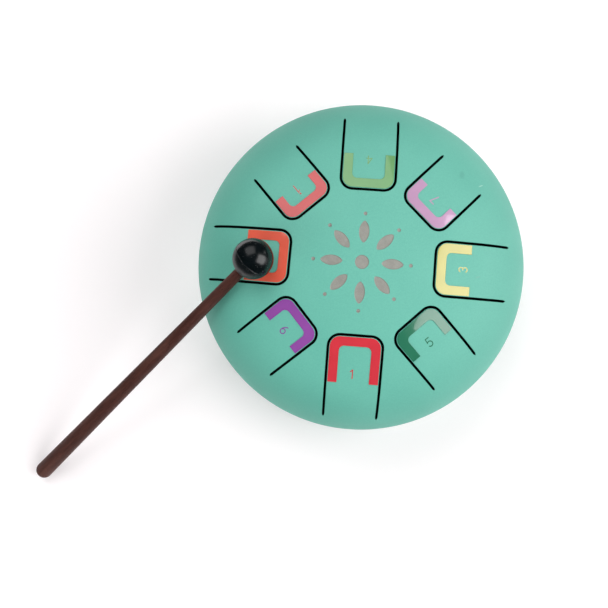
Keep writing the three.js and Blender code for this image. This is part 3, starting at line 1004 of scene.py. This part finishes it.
stick = Surface()
end = socket_floor - SOCKET_CLEARANCE
shaft = [(STICK_BUTT_RADIUS + (STICK_NECK_RADIUS - STICK_BUTT_RADIUS) * i / SHAFT_STEPS,
          -butt_below_ball + (butt_below_ball - BALL_RADIUS) * i / SHAFT_STEPS)
         for i in range(1, SHAFT_STEPS + 1)]
rings = stick.rings([
    (0, -butt_below_ball - STICK_BUTT_RADIUS),
    *arc((0, -butt_below_ball), STICK_BUTT_RADIUS, -90, 0, BUTT_STEPS)[1:],
    *shaft,
    (STICK_NECK_RADIUS, end - STICK_END_CHAMFER),
    (STICK_NECK_RADIUS - STICK_END_CHAMFER, end),
    (0, end),
], SMALL_STEPS)
stick.bands(rings)
mallet_stick = stick.piece("mallet_stick_wood", [wood], 35.0, mallet_place)
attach(mallet_stick, "mallet")
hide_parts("mallet_stick")

# Mallet ball. A solid ball of black rubber moulded in two halves, with a fine raised parting line
# around it square to the stick. The stick is glued into a blind socket. The skin is glossy, and
# the half by the stick is duller and dustier from handling.
PARTING_HEIGHT = 0.09
PARTING_HALF_WIDTH = 0.13
MOUTH_ROUND = 0.35
SOCKET_CORNER = 0.3
BALL_ROUND_STEPS = 128
BALL_HEIGHT_STEPS = 90
BALL_BLACK = "040b0d"
BALL_HAZE = "080f12"
BALL_DUST = "8d9090"

ball_rubber = Finish("ball_rubber", {"IOR": 1.5}, mallet_place)
haze = ball_rubber.noise(5.0, 3.0)
dust = ball_rubber.noise(0.55, 2.0)
fine = ball_rubber.noise(0.3, 2.0)
from_parting = ball_rubber.node("ShaderNodeSeparateXYZ", None, {0: ball_rubber.place}, 2)
handled = 1 - from_parting.between(-0.3, 0.1)
dust_mask = (dust + 0.05 * handled).between(0.7, 0.78)
black = ball_rubber.blend(haze.between(0.3, 0.7), linear(BALL_BLACK), linear(BALL_HAZE))
ball_rubber.feed({
    "Base Color": ball_rubber.blend(dust_mask * 0.6, black, linear(BALL_DUST)),
    "Roughness": 0.16 + 0.12 * haze + 0.16 * handled + 0.3 * dust_mask,
})
ball_rubber.relief(fine + haze * 2.0, 0.012)

ball = Surface()
socket = STICK_NECK_RADIUS + SOCKET_CLEARANCE
mouth = math.degrees(math.acos((socket + MOUTH_ROUND) / BALL_RADIUS))
profile = [(0, socket_floor), (socket - 0.01, socket_floor), (socket, socket_floor - SOCKET_CORNER)]
mouth_height = BALL_RADIUS * math.sin(math.radians(mouth))
slant = MOUTH_ROUND * 0.3
profile += [(socket, MOUTH_ROUND - mouth_height), (socket + slant, slant - mouth_height)]
angles = [(mouth + 90) * i / BALL_HEIGHT_STEPS - mouth for i in range(BALL_HEIGHT_STEPS + 1)]
parting = math.degrees(PARTING_HALF_WIDTH / BALL_RADIUS)
angles = [a for a in angles if abs(a) > 2 * parting]
angles = sorted(angles + [parting * share for share in (-2, -1, -0.5, 0, 0.5, 1, 2)])
for angle in angles:
    swell = PARTING_HEIGHT * max(0.0, 1 - (angle / parting) ** 2)
    radius = BALL_RADIUS - PARTING_HEIGHT + swell
    turn = math.radians(angle)
    profile.append((radius * math.cos(turn) if angle < 89.99 else 0, radius * math.sin(turn)))
ball.bands(ball.rings(profile, BALL_ROUND_STEPS))
mallet_ball = ball.piece("mallet_ball_rubber", [ball_rubber], 35.0, mallet_place)
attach(mallet_ball, "mallet")
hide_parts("mallet_ball")

# Studio. A small white table, a large soft lamp to the right, a second one beyond the drum, and
# weaker lamps that fill the shadows and aren't mirrored. The room that the glossy pieces mirror is
# dark, and white only far below. The table is clear from below, so that the feet can be seen.
FLOOR_SIZE = 0.5
FLOOR_WHITE = (0.92, 0.872, 0.885, 1.0)
FLOOR_GLOW = 0.14
FLOOR_FADE = (0.15, 0.24)
ROOM = 0.03
ROOM_FADE = (-0.8, -0.6)
LAMP_DISTANCE = 1.3
# azimuth in the picture, angle off the vertical and roll in degrees, side in metres, watts, mirrored
LAMPS = {
    "key_lamp": (-8.5, 47.5, -10.0, 1.04, 12.4, True),
    "low_lamp": (-12.0, 75.0, 0.0, 0.6, 1.0, True),
    "far_lamp": (108.5, 43.0, 0.0, 1.04, 4.3, True),
    "small_lamp": (28.0, 77.0, 0.0, 0.14, 0.3, True),
    "low_fill": (10.0, 64.0, 0.0, 0.9, 2.7, False),
    "far_fill": (120.0, 38.0, 0.0, 1.1, 7.0, False),
    "left_fill": (215.0, 59.0, 0.0, 0.9, 6.2, False),
    "near_fill": (275.0, 64.0, 0.0, 0.9, 4.9, False),
}


class Surround(Finish):
    """The white seen around the studio, made with the same nodes as a finish."""

    def __init__(self, name):
        world = bpy.data.worlds.new(name)
        world.use_nodes = True
        bpy.context.scene.world = world
        self.tree = world.node_tree
        self.shader = self.tree.nodes["Background"]


table_finish = Finish("white_table", {"Base Color": FLOOR_WHITE, "Roughness": 0.8})
seen, mirrored = table_finish.views()
away = table_finish.node("ShaderNodeVectorMath", {"operation": "LENGTH"}, {0: table_finish.place}, 1)
glow = FLOOR_GLOW + (1 - FLOOR_GLOW) * (away * MM).between(*FLOOR_FADE)
from_below = table_finish.node("ShaderNodeNewGeometry", output="Backfacing")
table_finish.feed({
    "Alpha": 1 - from_below,
    "Emission Color": (1.0, 1.0, 1.0, 1.0),
    "Emission Strength": seen.maths("MAXIMUM", seen, mirrored) * glow,
})
table = Surface()
corners = [(-1, -1), (1, -1), (1, 1), (-1, 1)]
table.face(table.loop([(x * FLOOR_SIZE / 2 / MM, y * FLOOR_SIZE / 2 / MM, 0) for x, y in corners]))
table.piece("white_table", [table_finish])

surround = Surround("surround")
direction = surround.node("ShaderNodeTexCoord", output="Generated")
up = surround.node("ShaderNodeSeparateXYZ", None, {0: direction}, 2)
white = 1 - (1 - ROOM) * up.between(*ROOM_FADE)
seen, mirrored = surround.views()
surround.feed({"Color": (1.0, 1.0, 1.0, 1.0), "Strength": seen.maths("MAXIMUM", seen, mirrored * white)})

for name, (azimuth, off_vertical, roll, side, power, glossy) in LAMPS.items():
    lamp_data = bpy.data.lights.new(name, "AREA")
    lamp_data.shape = "SQUARE"
    lamp_data.size = side
    lamp_data.energy = power
    lamp = bpy.data.objects.new(name, lamp_data)
    bpy.context.scene.collection.objects.link(lamp)
    lamp.visible_camera = False
    lamp.visible_glossy = glossy
    lamp.matrix_world = (
        Matrix.Translation(drum_axis)
        @ picture_turn
        @ Matrix.Rotation(math.radians(azimuth), 4, "Z")
        @ Matrix.Rotation(math.radians(off_vertical), 4, "Y")
        @ Matrix.Translation((0, 0, LAMP_DISTANCE))
        @ Matrix.Rotation(math.radians(roll), 4, "Z")
    )
